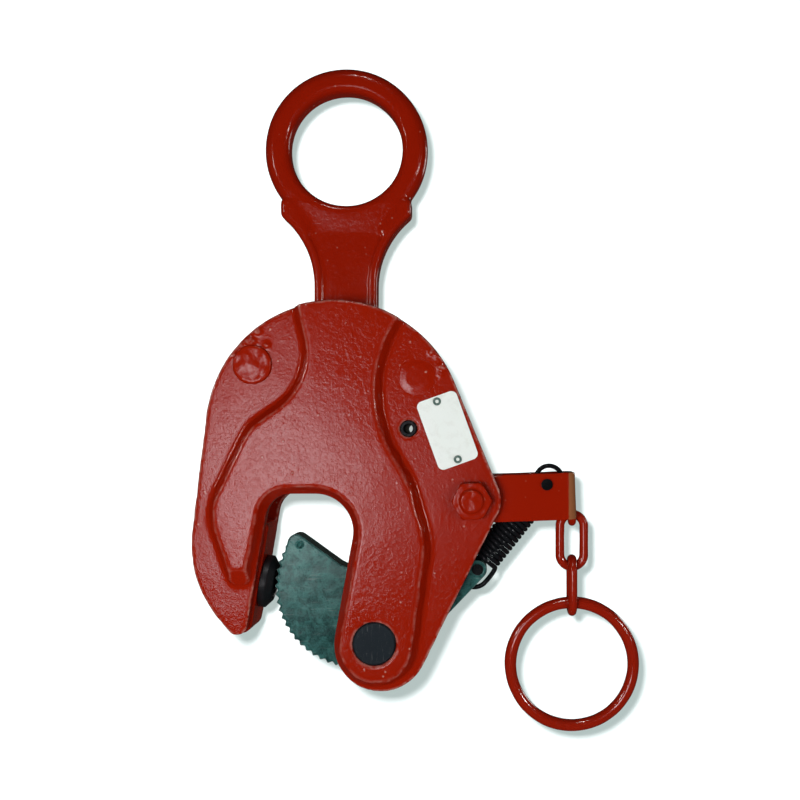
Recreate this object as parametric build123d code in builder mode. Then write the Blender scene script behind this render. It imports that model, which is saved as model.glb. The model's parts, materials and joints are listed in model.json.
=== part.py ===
"""Vertical lifting clamp for steel plate, with a toothed cam, a locking lever and a pull chain.

Millimetres. The origin is the centre of the lifting eye, +X points from the fixed jaw to the lever,
+Z up, and +Y from the front plate to the rear plate. The clamp hangs closed, with its jaw empty.
"""
import os
from math import acos, asin, atan2, cos, degrees, hypot, pi, radians, sin, sqrt

from build123d import *

os.makedirs("parts", exist_ok=True)

# Fits
running_gap = 0.05        # radial, a hole on the pin that turns in it
side_gap = 0.3            # between moving faces that pass each other
open_pivot_gap = 0.7      # radial, where the linkage is left free to take up its own error
link_plate_gap = 0.7      # between a link and the plate beside it
lever_plate_gap = 0.5     # between a lever cheek and the plate beside it

# Lifting shackle
eye_radius = 29.0
eye_bar = 13.0
shackle_thickness = 14.0
eye_inner_round = 4.0
eye_outer_round = 6.0
shoulder_half_width = 33.6
shoulder_top = 28.0       # straight side of the shoulder, from here below the eye centre
shoulder_drop = 33.0      # down to here
shoulder_round = 3.0
shank_half_width = 16.2
sweep_radius = 46.0       # hollow curve from the shoulder to the shank
shank_edge_round = 2.5
neck_panel_top = 45.0
neck_panel_bottom = 88.0
neck_panel_depth = 1.2
neck_rim = 4.0

# Main pivots, x and z
shackle_pin_at = (0.0, -105.0)
cam_pin_at = (16.6, -250.6)
lever_bolt_at = (64.9, -180.0)
left_stud_at = (-44.8, -112.0)
right_stud_at = (37.5, -118.2)
dowel_at = (33.2, -144.0)

# Side plates
flange_thickness = 7.0
band_rise = 6.0
band_slope = 30.0         # degrees that the band's side leans inwards
band_ledge = 0.4          # strip of flange left along the throat
band_edge_round = 1.4
band_tip_run = 9.5        # height of the longer slope at the foot of the band's left leg
band_tip_start = 0.5      # that slope starts below the band
dome = (-3.8, -144.7, 64.6)
lever_corner_radius = 14.6
leg_end = (19.3, -252.2, 23.4)
arch_right = (-13.5, -195.7, 19.0)
arch_left = (-26.0, -189.0, 12.3)
heel = (-17.5, -202.0, 58.0)
toe_radius = 5.0
toe_angle = -131.0        # degrees, seen from the heel's centre
toe_step = 0.6

# Raised band, clockwise: x, z and radius, which is negative where the outline curves inwards
band_right_rounds = [
    (-21.0, -72.0, 6.0), (38.0, -72.0, 6.0), (81.3, -125.4, -61.1),
    (1.2, -184.8, 38.0), (4.6, -203.5, 40.0), (17.3, -252.0, 21.0),
]
band_left_rounds = [
    (-51.0, -216.3, 6.8), (-36.5, -187.0, 30.0), (-28.3, -158.6, 25.0), (-51.2, -106.5, -31.0),
]

# Pins and fasteners
shackle_pin_radius = 7.0
guide_slot_depth = 5.0
guide_end_gap = 0.6
stud_body_radius = 10.0
stud_neck_radius = 7.0
stud_head_radius = 10.0
stud_head_height = 2.2
stud_head_round = 1.5
dowel_radius = 4.15
dowel_bore_radius = 2.2
dowel_proud = 0.6
cam_pin_radius = 10.75
cam_pin_head_radius = 13.5
cam_pin_head_height = 3.0
pin_chamfer = 0.8
bolt_radius = 6.0
nut_across_flats = 18.0
nut_height = 7.0
bolt_end_proud = 1.5
bolt_head_height = 7.5
nut_corner_cut = 1.2
nut_turn = 8.0            # degrees
bush_radius = 8.0

# Data plate
label_at = (52.7, -144.9)
label_width = 21.0
label_end = 2.65          # plate beyond the middle of each rivet
label_thickness = 0.8
label_corner = 3.0
label_tilt = 19.8         # degrees, its foot to the right
label_rivet_spacing = 30.7
rivet_radius = 1.2
rivet_head_radius = 2.0
rivet_head_height = 0.7
rivet_depth = 4.0

# Fixed jaw
jaw_drop = 36.0           # along the throat wall, from its upper end to the pad's axis
jaw_block_up = 31.0
jaw_block_down = 16.0     # its back corner; its front runs on to the toe
jaw_block_depth = 18.0
jaw_block_proud = 1.0
jaw_block_corner = 3.0
pad_radius = 13.5
pad_thickness = 6.0
pad_bevel_width = 3.8
pad_bevel_height = 3.0
pad_tooth_rings = 2
pad_tooth_depth = 1.2
pad_hollow_radius = 3.6
pad_stem_radius = 6.0
circlip_thickness = 1.2
circlip_radius = 8.6
circlip_groove = 0.9
circlip_gap_angle = 50.0
stem_end = 2.0

# Cam
cam_thickness = 15.0
cam_hub_radius = 18.0
cam_boss_radius = 14.0
tooth_circle = (6.0, -224.7, 42.2)
tooth_depth = 1.9
tooth_pitch = 5.77        # degrees
tooth_first = 151.0       # degrees on the tooth circle
tooth_count = 19
cam_top = (-25.2, -202.4, 4.4)
cam_hollow = (6.0, -198.5, -17.0)
tail_pin_at = (67.8, -216.2)
tail_radius = 4.8
tail_slot = 5.0
tail_slot_depth = 15.0
tail_pin_radius = 2.75
tail_pin_proud = 0.6
mark_at = (-23.2, -203.6)
mark_radius = 1.5

# Links between the shackle and the cam
link_thickness = 4.5
link_top_radius = 12.0
link_end_radius = 6.8
link_pin_radius = 4.5
link_arm = 22.0           # from the cam pin to the link pin
link_arm_angle = 45.0     # degrees above +X when the jaw is closed
cam_opening = 24.0        # degrees that the cam turns from closed to fully open

# Lever
lever_tilt = 2.0          # degrees
lever_height = 24.0
lever_width = 25.0
strap_thickness = 3.5
lever_reach = 53.1        # bolt to the outside of the end plate
strap_inner_corner = 1.5
spring_pin_reach = 38.3
spring_pin_lift = 6.3
spring_pin_radius = 2.2
spring_pin_head = 2.9
spring_pin_head_height = 1.2
chain_eye_radius = 2.75
chain_eye_bar = 4.0
chain_eye_inset = 2.6     # its centre above the strap's lower edge

# Return spring
spring_wire = 2.4
spring_diameter = 16.0
spring_pitch = 2.9
upper_loop_radius = 6.8   # to the middle of the wire
lower_loop_radius = 7.7
lower_loop_play = 2.9     # the tail pin's rest place, from the middle of the lower loop
loop_bend = 2.9           # along the axis, from the last turn to the loop
loop_opening = 62.0       # degrees left open between a loop's end and its start

# Chain and ring
link_wire = 4.1
link_width = 17.0
link_length = 31.8
ring_wire = 5.6
ring_diameter = 69.8


# Straight runs over rounds

def run_normal(start, end):
    """Unit normal, on the outer side, of the straight run that touches two rounds."""
    dx, dz = end[0] - start[0], end[1] - start[1]
    heading = atan2(dz, dx) + acos((start[2] - end[2]) / hypot(dx, dz))
    return heading, (cos(heading), sin(heading))


def on_round(spot, direction):
    """Point of a round in a direction; a round that curves inwards has a negative radius."""
    return spot[0] + spot[2] * direction[0], spot[1] + spot[2] * direction[1]


def belt(rounds):
    """Draw the closed outline that runs clockwise over rounds, as arcs and the runs that touch them."""
    runs = [run_normal(spot, rounds[(i + 1) % len(rounds)]) for i, spot in enumerate(rounds)]
    for i, spot in enumerate(rounds):
        came, goes = runs[i - 1], runs[i]
        way = -1 if spot[2] > 0 else 1
        sweep = (way * (goes[0] - came[0])) % (2 * pi)
        middle = came[0] + way * sweep / 2
        leaves = on_round(spot, goes[1])
        ThreePointArc(on_round(spot, came[1]), on_round(spot, (cos(middle), sin(middle))), leaves)
        Line(leaves, on_round(rounds[(i + 1) % len(rounds)], goes[1]))


def polar(centre, reach, angle):
    """Point at a reach and an angle in degrees from a centre, in x and z."""
    return centre[0] + reach * cos(radians(angle)), centre[1] + reach * sin(radians(angle))


def front_plane(y):
    """Plane at depth y, with x to the right, z up and its normal towards the front."""
    return Plane.XZ.offset(-y)


def cross_plane(spot, y=0.0):
    """Plane through a pivot at depth y, with its normal along +Y."""
    return Plane(origin=(spot[0], y, spot[1]), x_dir=(1, 0, 0), z_dir=(0, 1, 0))


# Places worked out from the sizes; the plates stand apart by the widest of what moves between them
link_inner = max(cam_thickness, shackle_thickness) / 2 + side_gap
inner_face = max(link_inner + link_thickness + link_plate_gap, lever_width / 2 + lever_plate_gap)
flange_face = inner_face + flange_thickness
band_face = flange_face + band_rise
toe_centre = polar(heel, heel[2] - toe_radius + toe_step, toe_angle)
toe = (toe_centre[0], toe_centre[1], toe_radius)
lever_corner = (lever_bolt_at[0], lever_bolt_at[1], lever_corner_radius)


def hollow(spot, ledge=0.0):
    """A round that the outline passes on its inner side."""
    return spot[0], spot[1], -(spot[2] + ledge)


plate_rounds = [dome, lever_corner, leg_end, hollow(arch_right), hollow(arch_left), toe, heel]
throat_rounds = [hollow(arch_right, band_ledge), hollow(arch_left, band_ledge)]
band_rounds = band_right_rounds + throat_rounds + band_left_rounds

# The throat's left wall carries the fixed jaw
wall_normal = run_normal(hollow(arch_left), toe)[1]
wall_top = on_round(hollow(arch_left), wall_normal)
wall_down = (wall_normal[1], -wall_normal[0])
jaw_at = (wall_top[0] + jaw_drop * wall_down[0], wall_top[1] + jaw_drop * wall_down[1])
jaw_plane = Plane(
    origin=(jaw_at[0], 0, jaw_at[1]),
    x_dir=(-wall_down[0], 0, -wall_down[1]),
    z_dir=(wall_normal[0], 0, wall_normal[1]),
)

# The lever's own plane: x along the lever, z out of its front cheek
lever_plane = Plane(
    origin=(lever_bolt_at[0], 0, lever_bolt_at[1]),
    x_dir=(cos(radians(lever_tilt)), 0, sin(radians(lever_tilt))),
    z_dir=(0, -1, 0),
)


def on_lever(along, lift):
    """Point of the lever's middle plane, in x and z."""
    spot = lever_plane.from_local_coords(Vector(along, lift, 0))
    return spot.X, spot.Z


chain_eye_lift = chain_eye_inset - lever_height / 2
strap_corner = strap_inner_corner + strap_thickness
spring_pin_at = on_lever(spring_pin_reach, spring_pin_lift)
chain_eye_ring = chain_eye_radius + chain_eye_bar / 2
chain_bar_at = on_lever(lever_reach - strap_thickness / 2, chain_eye_lift - chain_eye_ring)
link_pin_at = polar(cam_pin_at, link_arm, link_arm_angle)

# The shackle pin drops in its guide as the cam opens, by what the links leave
link_length_between_pins = hypot(link_pin_at[0] - shackle_pin_at[0], link_pin_at[1] - shackle_pin_at[1])
link_pin_open = polar(cam_pin_at, link_arm, link_arm_angle - cam_opening)
link_rise_open = sqrt(link_length_between_pins**2 - (link_pin_open[0] - shackle_pin_at[0]) ** 2)
guide_travel = shackle_pin_at[1] - link_pin_open[1] - link_rise_open


# Lifting shackle: a forged eye on a flat shank
shoulder_x = shoulder_half_width - shoulder_round
sweep_reach = sweep_radius + shoulder_round + running_gap
sweep_aside = shank_half_width + sweep_radius - shoulder_x
sweep_drop = shoulder_drop + sqrt(sweep_reach**2 - sweep_aside**2)
shank_rounds = [
    (-shoulder_x, -shoulder_top, shoulder_round),
    (shoulder_x, -shoulder_top, shoulder_round),
    (shoulder_x, -shoulder_drop, shoulder_round),
    (shank_half_width + sweep_radius, -sweep_drop, -sweep_radius),
    (*shackle_pin_at, shank_half_width),
    (-shank_half_width - sweep_radius, -sweep_drop, -sweep_radius),
    (-shoulder_x, -shoulder_drop, shoulder_round),
]
panel_corner = neck_rim / 2


def panel_half_width(drop):
    """Half the width of the neck's sunk panel, a rim inside the hollow sweep, at a drop below the eye."""
    reach = sweep_radius + neck_rim + panel_corner + running_gap
    return shank_half_width + sweep_radius - sqrt(reach**2 - (sweep_drop - drop) ** 2)


panel_top_half = panel_half_width(neck_panel_top)
panel_bottom_half = panel_half_width(min(neck_panel_bottom, sweep_drop))
panel_rounds = [
    (-panel_top_half, -neck_panel_top, panel_corner),
    (panel_top_half, -neck_panel_top, panel_corner),
    (shank_half_width + sweep_radius, -sweep_drop, -sweep_radius - neck_rim),
    (panel_bottom_half, -neck_panel_bottom, panel_corner),
    (-panel_bottom_half, -neck_panel_bottom, panel_corner),
    (-shank_half_width - sweep_radius, -sweep_drop, -sweep_radius - neck_rim),
]
with BuildPart() as lifting_shackle:
    with BuildSketch(Plane.XZ):
        with BuildLine():
            belt(shank_rounds)
        make_face()
    extrude(amount=shackle_thickness / 2, both=True)
    broad_faces = faces().filter_by(Axis.Y)
    fillet(broad_faces.edges(), shank_edge_round)
    for face_y, inwards in ((-shackle_thickness / 2, -1), (shackle_thickness / 2, 1)):
        with BuildSketch(front_plane(face_y)):
            with BuildLine():
                belt(panel_rounds)
            make_face()
        extrude(amount=inwards * neck_panel_depth, mode=Mode.SUBTRACT)
    with BuildSketch(Plane.XZ):
        Circle(eye_radius + eye_inner_round + panel_corner)
    extrude(amount=shackle_thickness, both=True, mode=Mode.SUBTRACT)
    with BuildSketch(Plane.XY):
        with Locations((eye_radius + eye_bar / 2, 0)):
            Rectangle(eye_bar, shackle_thickness)
        fillet(vertices().group_by(Axis.X)[0], eye_inner_round)
        fillet(vertices().group_by(Axis.X)[-1], eye_outer_round)
    revolve(axis=Axis.Y)
    with BuildSketch(front_plane(0)):
        with Locations(shackle_pin_at):
            Circle(shackle_pin_radius + running_gap)
    extrude(amount=shackle_thickness, both=True, mode=Mode.SUBTRACT)
lifting_shackle.part.label = "lifting_shackle"
export_step(lifting_shackle.part, "parts/lifting_shackle.step")


# Pin of the shackle, whose ends ride in the plates' guide slots
with BuildPart() as shackle_pin:
    with BuildSketch(cross_plane(shackle_pin_at)):
        Circle(shackle_pin_radius)
    extrude(amount=inner_face + guide_slot_depth - side_gap, both=True)
    chamfer(edges().filter_by(GeomType.CIRCLE), pin_chamfer)
shackle_pin.part.label = "shackle_pin"
export_step(shackle_pin.part, "parts/shackle_pin.step")


# Two links from the shackle pin to the cam, one on each side of the shank
def build_link(side):
    """One link plate; side is -1 for the front and 1 for the rear."""
    with BuildPart() as link:
        with BuildSketch(front_plane(side * link_inner)):
            with BuildLine():
                belt([(*shackle_pin_at, link_top_radius), (*link_pin_at, link_end_radius)])
            make_face()
            with Locations(shackle_pin_at):
                Circle(shackle_pin_radius + running_gap, mode=Mode.SUBTRACT)
            with Locations(link_pin_at):
                Circle(link_pin_radius + open_pivot_gap, mode=Mode.SUBTRACT)
        extrude(amount=-side * link_thickness)
    return link.part


for link_name, link_side in (("front_link", -1), ("rear_link", 1)):
    link_plate = build_link(link_side)
    link_plate.label = link_name
    export_step(link_plate, f"parts/{link_name}.step")


# Side plates: a flat flange with a raised band from the shackle over the throat and down both legs
tip_x, tip_z, tip_round = band_left_rounds[0]
tip_foot = tip_z - tip_round - band_tip_start
with BuildPart() as plate_blank:
    with BuildSketch(front_plane(-flange_face)):
        with BuildLine():
            belt(band_rounds)
        make_face()
    extrude(amount=band_rise, taper=band_slope)
    fillet(faces().sort_by(Axis.Y)[0].edges(), band_edge_round)
    with BuildSketch(Plane.YZ.offset(tip_x)):
        with BuildLine():
            Polyline(
                (-flange_face, tip_foot), (-flange_face - 2 * band_rise, tip_foot),
                (-flange_face - 2 * band_rise, tip_foot + 2 * band_tip_run), close=True)
        make_face()
    extrude(amount=3 * tip_round, both=True, mode=Mode.SUBTRACT)
    with BuildSketch(front_plane(-inner_face)) as flange_outline:
        with BuildLine():
            belt(plate_rounds)
        make_face()
    extrude(amount=flange_thickness + band_rise, mode=Mode.INTERSECT)
    extrude(flange_outline.sketch, amount=flange_thickness)
    with BuildSketch(front_plane(-inner_face)):
        for spot, radius in (
            (left_stud_at, stud_neck_radius), (right_stud_at, stud_neck_radius), (dowel_at, dowel_radius),
            (lever_bolt_at, bolt_radius), (cam_pin_at, cam_pin_radius),
        ):
            with Locations(spot):
                Circle(radius + running_gap)
    extrude(amount=flange_thickness + band_rise, mode=Mode.SUBTRACT)
    with BuildSketch(front_plane(-inner_face)):
        with Locations((shackle_pin_at[0], shackle_pin_at[1] - guide_travel / 2)):
            SlotCenterToCenter(
                guide_travel + 2 * guide_end_gap, 2 * (shackle_pin_radius + 2 * running_gap), rotation=90)
    extrude(amount=guide_slot_depth, mode=Mode.SUBTRACT)

label_height = label_rivet_spacing + 2 * label_end
label_plane = Plane(
    origin=(label_at[0], -flange_face, label_at[1]),
    x_dir=(cos(radians(label_tilt)), 0, sin(radians(label_tilt))),
    z_dir=(0, -1, 0),
)
rivet_spots = [(0, label_rivet_spacing / 2), (0, -label_rivet_spacing / 2)]
with BuildPart() as front_side_plate:
    add(plate_blank.part)
    with BuildSketch(label_plane):
        with Locations(*rivet_spots):
            Circle(rivet_radius)
    extrude(amount=-rivet_depth, mode=Mode.SUBTRACT)
front_side_plate.part.label = "front_side_plate"
export_step(front_side_plate.part, "parts/front_side_plate.step")

with BuildPart() as rear_side_plate:
    mirror(plate_blank.part, about=Plane.XZ)
rear_side_plate.part.label = "rear_side_plate"
export_step(rear_side_plate.part, "parts/rear_side_plate.step")


# Spacer studs, whose ends are headed over outside the plates
def build_stud(spot):
    """A shouldered stud: body between the plates, necks through them and a rounded head on each end."""
    with BuildPart() as stud:
        with BuildSketch(cross_plane(spot)):
            Circle(stud_body_radius)
        extrude(amount=inner_face, both=True)
        with BuildSketch(cross_plane(spot)):
            Circle(stud_neck_radius)
        extrude(amount=flange_face, both=True)
        for end, outwards in ((flange_face, 1), (-flange_face, -1)):
            with BuildSketch(cross_plane(spot, end)):
                Circle(stud_head_radius)
            extrude(amount=outwards * stud_head_height)
        heads = edges().filter_by(GeomType.CIRCLE).sort_by(Axis.Y)
        fillet([heads[0], heads[-1]], stud_head_round)
    return stud.part


for stud_name, stud_spot in (("left_spacer_stud", left_stud_at), ("right_spacer_stud", right_stud_at)):
    stud_piece = build_stud(stud_spot)
    stud_piece.label = stud_name
    export_step(stud_piece, f"parts/{stud_name}.step")


# Hollow dowel through both plates
with BuildPart() as dowel_pin:
    with BuildSketch(cross_plane(dowel_at)):
        Circle(dowel_radius)
        Circle(dowel_bore_radius, mode=Mode.SUBTRACT)
    extrude(amount=flange_face + dowel_proud, both=True)
dowel_pin.part.label = "dowel_pin"
export_step(dowel_pin.part, "parts/dowel_pin.step")


# Fixed jaw: a block between the plates, and a round toothed pad that turns in it
block_back = jaw_block_proud - jaw_block_depth
toe_drop = (toe[0] - jaw_at[0]) * wall_down[0] + (toe[1] - jaw_at[1]) * wall_down[1]
block_rounds = [
    (block_back + jaw_block_corner, jaw_block_up - jaw_block_corner, jaw_block_corner),
    (jaw_block_proud - jaw_block_corner, jaw_block_up - jaw_block_corner, jaw_block_corner),
    (jaw_block_proud - toe_radius, -toe_drop, toe_radius),
    (block_back + jaw_block_corner, jaw_block_corner - jaw_block_down, jaw_block_corner),
]
with BuildPart() as jaw_block:
    with BuildSketch(Plane(jaw_plane.origin, x_dir=jaw_plane.z_dir, z_dir=(0, -1, 0))):
        with BuildLine():
            belt(block_rounds)
        make_face()
    extrude(amount=inner_face, both=True)
    with BuildSketch(jaw_plane.offset(jaw_block_proud)):
        Circle(pad_stem_radius + running_gap)
    extrude(amount=-jaw_block_depth, mode=Mode.SUBTRACT)
jaw_block.part.label = "jaw_block"
export_step(jaw_block.part, "parts/jaw_block.step")

pad_back = jaw_block_proud + side_gap
pad_face = pad_back + pad_thickness
groove_front = block_back - side_gap
groove_back = groove_front - circlip_thickness
pad_crown_radius = pad_radius - pad_bevel_width
ring_step = (pad_crown_radius - pad_hollow_radius) / (2 * pad_tooth_rings)
pad_teeth = [
    (pad_crown_radius - ring_step * i, pad_face - (pad_tooth_depth if i % 2 else 0))
    for i in range(2 * pad_tooth_rings + 1)
]
with BuildPart() as jaw_pad:
    with BuildSketch(Plane(jaw_plane.origin, x_dir=(0, 1, 0), z_dir=-jaw_plane.x_dir)):
        with BuildLine():
            Polyline(
                (0, groove_back - stem_end), (pad_stem_radius, groove_back - stem_end),
                (pad_stem_radius, groove_back), (pad_stem_radius - circlip_groove, groove_back),
                (pad_stem_radius - circlip_groove, groove_front), (pad_stem_radius, groove_front),
                (pad_stem_radius, pad_back), (pad_radius, pad_back), (pad_radius, pad_face - pad_bevel_height),
                *pad_teeth,
                (pad_hollow_radius, pad_face - 2 * pad_tooth_depth), (0, pad_face - 2 * pad_tooth_depth),
                close=True,
            )
        make_face()
    revolve(axis=Axis(jaw_plane.origin, jaw_plane.z_dir))
jaw_pad.part.label = "jaw_pad"
export_step(jaw_pad.part, "parts/jaw_pad.step")

with BuildPart() as jaw_circlip:
    with BuildSketch(jaw_plane.offset(groove_back)):
        Circle(circlip_radius)
        Circle(pad_stem_radius - circlip_groove, mode=Mode.SUBTRACT)
        with Locations((circlip_radius, 0)):
            Rectangle(2 * circlip_radius, 2 * pad_stem_radius * sin(radians(circlip_gap_angle / 2)),
                      mode=Mode.SUBTRACT)
    extrude(amount=circlip_thickness)
jaw_circlip.part.label = "jaw_circlip"
export_step(jaw_circlip.part, "parts/jaw_circlip.step")


# Cam: a toothed face left of its pin, and a forked tail that the spring pulls
tail_heading = degrees(atan2(tail_pin_at[1] - cam_pin_at[1], tail_pin_at[0] - cam_pin_at[0]))
root_circle = (tooth_circle[0], tooth_circle[1], tooth_circle[2] - tooth_depth)
cam_rounds = [cam_top, cam_hollow, (*tail_pin_at, tail_radius), (*cam_pin_at, cam_hub_radius), root_circle]
tooth_half = radians(tooth_pitch) * root_circle[2] / 2
with BuildPart() as cam:
    with BuildSketch(Plane.XZ):
        with BuildLine():
            belt(cam_rounds)
        make_face()
        for i in range(tooth_count):
            with Locations(Location((tooth_circle[0], tooth_circle[1]), tooth_first + i * tooth_pitch)):
                Polygon(
                    (root_circle[2] - tooth_depth, -tooth_half), (root_circle[2], -tooth_half),
                    (tooth_circle[2], 0), (root_circle[2], tooth_half),
                    (root_circle[2] - tooth_depth, tooth_half), align=None)
    extrude(amount=cam_thickness / 2, both=True)
    with BuildSketch(Plane.XZ):
        with Locations(cam_pin_at):
            Circle(cam_boss_radius)
    extrude(amount=inner_face - side_gap, both=True)
    with BuildSketch(Plane.XZ):
        with Locations(cam_pin_at):
            Circle(cam_pin_radius + running_gap)
        with Locations(link_pin_at):
            Circle(link_pin_radius)
        with Locations(tail_pin_at):
            Circle(tail_pin_radius)
    extrude(amount=inner_face, both=True, mode=Mode.SUBTRACT)
    with BuildSketch(Plane.XZ):
        with Locations(Location(tail_pin_at, tail_heading)):
            with Locations(((2 * tail_radius - tail_slot_depth) / 2, 0)):
                Rectangle(tail_slot_depth + 2 * tail_radius, 2 * tooth_circle[2])
    extrude(amount=tail_slot / 2, both=True, mode=Mode.SUBTRACT)
    with BuildSketch(front_plane(-cam_thickness / 2)):
        with Locations(mark_at):
            Circle(mark_radius)
    extrude(amount=-mark_radius, mode=Mode.SUBTRACT)
cam.part.label = "cam"
export_step(cam.part, "parts/cam.step")

with BuildPart() as cam_pin:
    with BuildSketch(cross_plane(cam_pin_at)):
        Circle(cam_pin_radius)
    extrude(amount=band_face, both=True)
    with BuildSketch(cross_plane(cam_pin_at, band_face)):
        Circle(cam_pin_head_radius)
    extrude(amount=cam_pin_head_height)
    pin_ends = edges().filter_by(GeomType.CIRCLE).sort_by(Axis.Y)
    chamfer([pin_ends[0], pin_ends[-1]], pin_chamfer)
cam_pin.part.label = "cam_pin"
export_step(cam_pin.part, "parts/cam_pin.step")

with BuildPart() as link_pin:
    with BuildSketch(cross_plane(link_pin_at)):
        Circle(link_pin_radius)
    extrude(amount=link_inner + link_thickness + side_gap / 2, both=True)
link_pin.part.label = "link_pin"
export_step(link_pin.part, "parts/link_pin.step")

with BuildPart() as tail_pin:
    with BuildSketch(cross_plane(tail_pin_at)):
        Circle(tail_pin_radius)
    extrude(amount=cam_thickness / 2 + tail_pin_proud, both=True)
tail_pin.part.label = "tail_pin"
export_step(tail_pin.part, "parts/tail_pin.step")


# Lever: a strap bent round its end plate, with a chain eye at the foot of that plate
lever_top = Plane(lever_plane.origin, x_dir=lever_plane.x_dir, z_dir=lever_plane.y_dir)
end_plate_plane = Plane(
    lever_plane.from_local_coords(Vector(lever_reach - strap_thickness / 2, chain_eye_lift, 0)),
    x_dir=(0, 1, 0), z_dir=lever_plane.x_dir)
half_height = lever_height / 2
with BuildPart() as lever:
    with BuildSketch(lever_top):
        with BuildLine():
            outside = Polyline(
                (-half_height, -lever_width / 2), (lever_reach, -lever_width / 2),
                (lever_reach, lever_width / 2), (-half_height, lever_width / 2))
            Line(outside @ 1, outside @ 0)
        make_face()
        fillet(vertices().group_by(Axis((0, 0, 0), (1, 0, 0)))[-1], strap_corner)
        with BuildLine():
            inside = FilletPolyline(
                (-2 * half_height, strap_thickness - lever_width / 2),
                (lever_reach - strap_thickness, strap_thickness - lever_width / 2),
                (lever_reach - strap_thickness, lever_width / 2 - strap_thickness),
                (-2 * half_height, lever_width / 2 - strap_thickness), radius=strap_inner_corner)
            Line(inside @ 1, inside @ 0)
        make_face(mode=Mode.SUBTRACT)
    extrude(amount=half_height, both=True)
    with BuildSketch(lever_plane):
        Circle(half_height)
        with Locations((lever_reach, 0)):
            Rectangle(2 * lever_reach, lever_height)
        Circle(bush_radius + running_gap, mode=Mode.SUBTRACT)
    extrude(amount=lever_width, both=True, mode=Mode.INTERSECT)
    with BuildSketch(lever_plane):
        with Locations((spring_pin_reach, spring_pin_lift)):
            Circle(spring_pin_radius)
    extrude(amount=lever_width, both=True, mode=Mode.SUBTRACT)
    with BuildSketch(end_plate_plane):
        Circle(chain_eye_ring)
    extrude(amount=strap_thickness, both=True, mode=Mode.SUBTRACT)
    with Locations(end_plate_plane.location):
        Torus(chain_eye_ring, chain_eye_bar / 2)
lever.part.label = "lever"
export_step(lever.part, "parts/lever.step")

with BuildPart() as lever_bush:
    with BuildSketch(cross_plane(lever_bolt_at)):
        Circle(bush_radius)
        Circle(bolt_radius + running_gap, mode=Mode.SUBTRACT)
    extrude(amount=inner_face, both=True)
lever_bush.part.label = "lever_bush"
export_step(lever_bush.part, "parts/lever_bush.step")


def build_hexagon(face_y, outwards, height):
    """A hexagon on the lever bolt's axis, its outer corners turned off."""
    with BuildPart() as hexagon:
        with BuildSketch(cross_plane(lever_bolt_at, face_y)):
            Circle(nut_across_flats / sqrt(3))
        extrude(amount=outwards * height)
        rims = edges().filter_by(GeomType.CIRCLE).sort_by(Axis((0, 0, 0), (0, outwards, 0)))
        chamfer(rims[-1], nut_corner_cut)
        with BuildSketch(cross_plane(lever_bolt_at, face_y)):
            RegularPolygon(nut_across_flats / 2, 6, major_radius=False, rotation=nut_turn)
        extrude(amount=outwards * height, mode=Mode.INTERSECT)
    return hexagon.part


with BuildPart() as lever_bolt:
    with BuildSketch(cross_plane(lever_bolt_at)):
        Circle(bolt_radius)
    extrude(amount=-(flange_face + nut_height + bolt_end_proud))
    chamfer(edges().filter_by(GeomType.CIRCLE).sort_by(Axis.Y)[0], pin_chamfer)
    with BuildSketch(cross_plane(lever_bolt_at)):
        Circle(bolt_radius)
    extrude(amount=flange_face)
    add(build_hexagon(flange_face, 1, bolt_head_height))
lever_bolt.part.label = "lever_bolt"
export_step(lever_bolt.part, "parts/lever_bolt.step")

with BuildPart() as lever_nut:
    add(build_hexagon(-flange_face, -1, nut_height))
    with BuildSketch(cross_plane(lever_bolt_at, -flange_face)):
        Circle(bolt_radius)
    extrude(amount=-nut_height, mode=Mode.SUBTRACT)
lever_nut.part.label = "lever_nut"
export_step(lever_nut.part, "parts/lever_nut.step")

with BuildPart() as spring_pin:
    with BuildSketch(cross_plane(spring_pin_at)):
        Circle(spring_pin_radius)
    extrude(amount=lever_width / 2, both=True)
    for end, outwards in ((lever_width / 2, 1), (-lever_width / 2, -1)):
        with BuildSketch(cross_plane(spring_pin_at, end)):
            Circle(spring_pin_head)
        extrude(amount=outwards * spring_pin_head_height)
spring_pin.part.label = "spring_pin"
export_step(spring_pin.part, "parts/spring_pin.step")


# Return spring: one wire, with a loop over each pin and a close coil between
spring_span = hypot(tail_pin_at[0] - spring_pin_at[0], tail_pin_at[1] - spring_pin_at[1])
axis_x = (tail_pin_at[0] - spring_pin_at[0]) / spring_span
axis_z = (tail_pin_at[1] - spring_pin_at[1]) / spring_span
along = Vector(axis_x, 0, axis_z)
across = Vector(-axis_z, 0, axis_x)
depth = Vector(0, 1, 0)
coil_radius = (spring_diameter - spring_wire) / 2
upper_loop_at = Vector(spring_pin_at[0], 0, spring_pin_at[1]) - along * (
    upper_loop_radius - spring_wire / 2 - spring_pin_radius - side_gap)
lower_loop_at = Vector(tail_pin_at[0], 0, tail_pin_at[1]) + along * lower_loop_play
loop_distance = (lower_loop_at - upper_loop_at).length
coil_start = upper_loop_radius + loop_bend
coil_room = loop_distance - lower_loop_radius - loop_bend - coil_start
coil_lead = asin(loop_bend / coil_radius)    # the part of a turn that each end's bend takes up
turn_count = int(coil_room / spring_pitch + coil_lead / pi)
coil_turn = 2 * pi * turn_count - 2 * coil_lead
loop_arcs = 4                                # round one loop, each under a quarter turn


def loop_stations(centre, radius, first, last):
    """Places and headings round a loop in the lever's plane, clockwise from the first angle to the last."""
    stations = []
    for i in range(loop_arcs + 1):
        angle = radians(first + (last - first) * i / loop_arcs)
        place = centre + along * (radius * cos(angle)) + across * (radius * sin(angle))
        stations.append((place, along * sin(angle) - across * cos(angle)))
    return stations


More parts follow.
